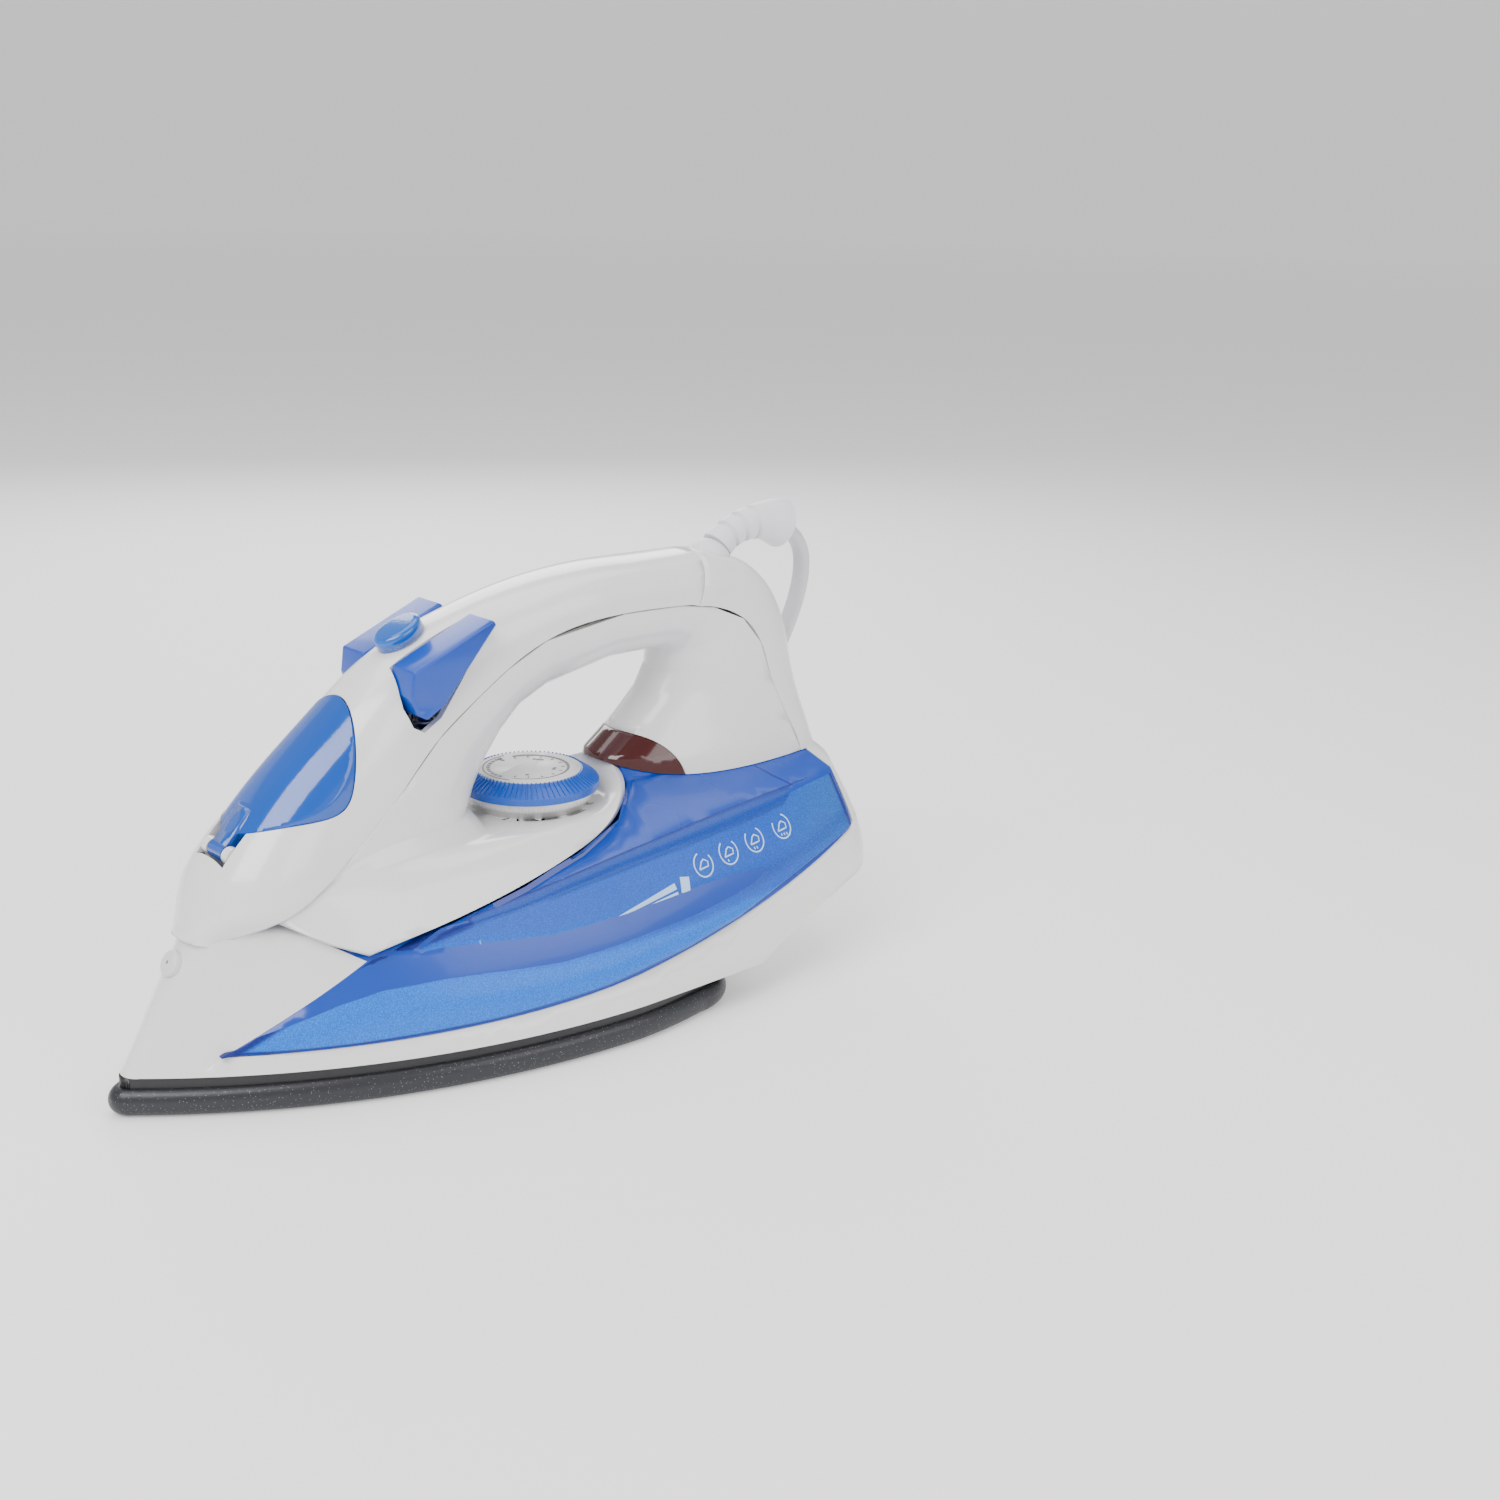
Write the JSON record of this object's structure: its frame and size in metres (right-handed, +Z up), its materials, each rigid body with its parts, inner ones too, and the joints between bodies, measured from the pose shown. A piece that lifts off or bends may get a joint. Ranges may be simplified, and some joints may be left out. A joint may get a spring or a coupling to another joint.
{
  "type": "clothes_iron",
  "caption": "Corded steam iron with a closed loop handle, translucent blue water tank, filler door, steam slider, push buttons, temperature dial and swivelling cord guard.",
  "frame": {"origin": "middle of the iron's length and width, on the ironing face", "axes": "+Z up from the ironing face, +Y from the nose towards the heel, +X towards the burst button's side"},
  "size_m": [0.2336, 0.2758, 0.1524],
  "materials": {
    "sole_metal": "dark non-stick coating with a fine fleck on a cast base",
    "element_steel": "steel sheathed element, heat-toned",
    "bare_metal": "plain bright steel",
    "screw_steel": "zinc plated screws",
    "thermostat_metal": "plated steel case",
    "black_plastic": "heat-resistant black moulding",
    "white_shell": "pearly gloss white moulding",
    "white_matte": "satin white moulding",
    "tank_blue": "translucent blue moulding, lightly frosted sides",
    "door_blue": "translucent bright blue moulding",
    "button_blue": "blue moulding",
    "slider_clear": "translucent pale blue moulding",
    "dial_blue": "blue moulding with fine ribs",
    "dial_white": "white insert with printed dots",
    "spindle_grey": "grey moulding",
    "silicone": "soft translucent silicone",
    "spring_steel": "spring wire",
    "lens_red": "dark translucent red lens",
    "lamp_glass": "small glass lamp",
    "lead_sleeve": "glass-fibre sleeved leads",
    "cord_grey": "light grey soft sheath",
    "tie_black": "black tie",
    "plug_white": "light grey moulded plug",
    "pin_brass": "plated brass pins"
  },
  "bodies": {
    "housing": {"soleplate": "sole_metal", "heating_element": "element_steel", "element_terminals": "element_steel", "steam_chamber_cover": "bare_metal", "thermal_fuse": "bare_metal", "door_hinge_pin": "bare_metal", "sole_screws": "screw_steel", "clamp_screws": "screw_steel", "thermostat": "thermostat_metal", "heat_shield": "black_plastic", "pump_block": "black_plastic", "skirt": "white_shell", "nose_cover": "white_shell", "inner_handle_shell": "white_shell", "upper_shell": "white_shell", "rear_cover": "white_shell", "hinge_lugs": "white_shell", "dial_collar": "white_shell", "guard_socket": "white_matte", "filler_funnel": "white_matte", "terminal_block": "white_matte", "cord_clamp": "white_matte", "water_tank": "tank_blue", "spray_nozzle": "spindle_grey", "tank_seal": "silicone", "valve_seat": "silicone", "suction_tube": "silicone", "burst_tube": "silicone", "spray_tube": "silicone", "spray_spring": "spring_steel", "burst_spring": "spring_steel", "lamp_lens": "lens_red", "indicator_lamp": "lamp_glass", "lead_wires": "lead_sleeve", "power_cord": "cord_grey", "cord_coil": "cord_grey", "cord_tail": "cord_grey", "cord_tie": "tie_black", "plug_body": "plug_white", "plug_pins": "pin_brass"},
    "dial": {"dial_knob": "dial_blue", "dial_insert": "dial_white", "dial_spindle": "spindle_grey"},
    "steam_slider_body": {"steam_slider": "slider_clear"},
    "valve": {"valve_rod": "bare_metal"},
    "spray_push": {"spray_button": "button_blue", "spray_plunger": "spindle_grey"},
    "burst_push": {"burst_button": "button_blue", "burst_plunger": "spindle_grey"},
    "door": {"filler_door": "door_blue"},
    "cord_guard": {"guard_ball": "white_matte", "guard_sleeve": "white_matte"}
  },
  "joints": [
    {"name": "dial_turn", "type": "hinge", "parent": "housing", "child": "dial", "pos_m": [0, 0.0146, 0.072], "axis": [0, 0, 1], "range_deg": [0, 270]},
    {"name": "steam_slide", "type": "slide", "parent": "housing", "child": "steam_slider_body", "axis": [0, 0.89, 0.456], "range_m": [0, 0.009]},
    {"name": "valve_lift", "type": "slide", "parent": "housing", "child": "valve", "axis": [0, 0, 1], "range_m": [0, 0.0025]},
    {"name": "spray_press", "type": "slide", "parent": "housing", "child": "spray_push", "axis": [0, 0, -1], "range_m": [0, 0.003], "stiffness_N_per_m": 500, "springref_m": -0.001, "deforming": ["spray_spring"]},
    {"name": "burst_press", "type": "slide", "parent": "housing", "child": "burst_push", "axis": [0, 0, -1], "range_m": [0, 0.003], "stiffness_N_per_m": 500, "springref_m": -0.001, "deforming": ["burst_spring"]},
    {"name": "door_open", "type": "hinge", "parent": "housing", "child": "door", "pos_m": [0, -0.0924, 0.0712], "axis": [1, 0, 0], "range_deg": [0, 80]},
    {"name": "guard_swing", "type": "hinge", "parent": "housing", "child": "cord_guard", "pos_m": [0, 0.0885, 0.1335], "axis": [1, 0, 0], "range_deg": [-10, 14], "deforming": ["power_cord"]}
  ],
  "couplings": [
    {"joint": "valve_lift", "follows": "steam_slide", "ratio": 0.2778}
  ]
}
